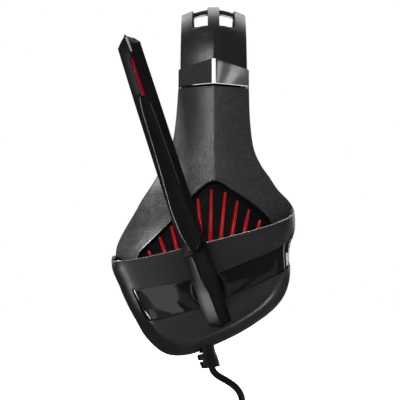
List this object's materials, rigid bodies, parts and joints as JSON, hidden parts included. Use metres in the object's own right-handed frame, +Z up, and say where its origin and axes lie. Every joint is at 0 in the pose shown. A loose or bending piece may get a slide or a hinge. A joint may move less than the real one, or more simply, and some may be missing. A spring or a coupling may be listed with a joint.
{
  "type": "gaming headset",
  "caption": "Over-ear gaming headset with see-through crown band, sliding arms, tilting ear cups, red light ribs, swivelling boom microphone and a plug-in cord.",
  "frame": {"origin": "middle of the wearer's head at ear height, midway between the ear cups and under the band's middle", "axes": "+Z up along the head, -X the way the wearer faces, -Y the wearer's left-hand cup with the microphone"},
  "size_m": [0.1047, 0.205, 0.3026],
  "materials": {
    "dark_matte_shell": "fine matte powder texture, dark gray",
    "black_plastic": "plain moulded black",
    "satin_black": "satin black moulding",
    "gloss_black": "piano black gloss",
    "chrome_ring": "smoked chrome plating",
    "pad_leather": "black protein leather with fine grain",
    "spring_steel": "brushed spring steel",
    "screw_steel": "plain steel",
    "wire_cover": "red insulated wire",
    "red_light_ribs": "translucent red light guides",
    "red_strip": "red translucent strip",
    "white_strip": "white translucent strip",
    "circuit_board": "green solder mask",
    "driver_metal": "plain pressed metal",
    "driver_cone": "thin clear film cone",
    "speaker_cloth": "fine black knit",
    "cord_rubber": "matte black rubber",
    "hook_tie": "black hook and loop strap",
    "gold_contact": "gold plated contact"
  },
  "bodies": {
    "headband": {"band_shell": "dark_matte_shell", "band_liner": "black_plastic", "band_pad": "pad_leather", "band_spring": "spring_steel", "band_wire": "wire_cover", "band_screws": "screw_steel", "left_ring": "chrome_ring", "right_ring": "chrome_ring", "left_guide": "black_plastic", "right_guide": "black_plastic"},
    "left_arm": {"left_arm_shell": "dark_matte_shell", "left_arm_liner": "black_plastic", "left_rib_bezel": "satin_black", "left_light_ribs": "red_light_ribs", "left_slider": "spring_steel", "left_light_board": "circuit_board"},
    "right_arm": {"right_arm_shell": "dark_matte_shell", "right_arm_liner": "black_plastic", "right_rib_bezel": "satin_black", "right_light_ribs": "red_light_ribs", "right_slider": "spring_steel", "right_light_board": "circuit_board"},
    "left_cup": {"left_cup_cover": "dark_matte_shell", "left_cup_panel": "gloss_black", "left_cup_can": "black_plastic", "left_baffle": "black_plastic", "left_driver_frame": "driver_metal", "left_driver_cone": "driver_cone", "left_driver_magnet": "driver_metal", "left_speaker_cloth": "speaker_cloth", "left_ear_cushion": "pad_leather", "left_cup_screws": "screw_steel", "left_tilt_pins": "screw_steel", "audio_board": "circuit_board", "strain_relief": "cord_rubber", "mic_socket": "black_plastic", "cord_tube": "cord_rubber", "cord_coil": "cord_rubber", "coil_tie": "hook_tie", "plug_body": "cord_rubber", "jack_pin": "gold_contact"},
    "right_cup": {"right_cup_cover": "dark_matte_shell", "right_cup_panel": "gloss_black", "right_cup_can": "black_plastic", "right_baffle": "black_plastic", "right_driver_frame": "driver_metal", "right_driver_cone": "driver_cone", "right_driver_magnet": "driver_metal", "right_speaker_cloth": "speaker_cloth", "right_ear_cushion": "pad_leather", "right_cup_screws": "screw_steel", "right_tilt_pins": "screw_steel"},
    "mic_boom": {"mic_hub": "satin_black", "boom_front": "satin_black", "boom_back": "satin_black", "boom_strip": "red_strip", "boom_tip": "white_strip", "mic_capsule": "driver_metal"}
  },
  "joints": [
    {"name": "left_slide", "type": "slide", "parent": "headband", "child": "left_arm", "axis": [0, -0.2419, -0.9703], "range_m": [0, 0.018]},
    {"name": "left_tilt", "type": "hinge", "parent": "left_arm", "child": "left_cup", "pos_m": [-0.00458, -0.0795, 0.01162], "axis": [0.9686, 0, 0.2487], "range_deg": [-4, 4]},
    {"name": "right_slide", "type": "slide", "parent": "headband", "child": "right_arm", "axis": [0, 0.2419, -0.9703], "range_m": [0, 0.018]},
    {"name": "right_tilt", "type": "hinge", "parent": "right_arm", "child": "right_cup", "pos_m": [-0.00458, 0.0795, 0.01162], "axis": [0.9686, 0, 0.2487], "range_deg": [-4, 4]},
    {"name": "mic_swing", "type": "hinge", "parent": "left_cup", "child": "mic_boom", "pos_m": [-0.0033, -0.0985, -0.01427], "axis": [0, -1, 0], "range_deg": [-20, 115]}
  ]
}
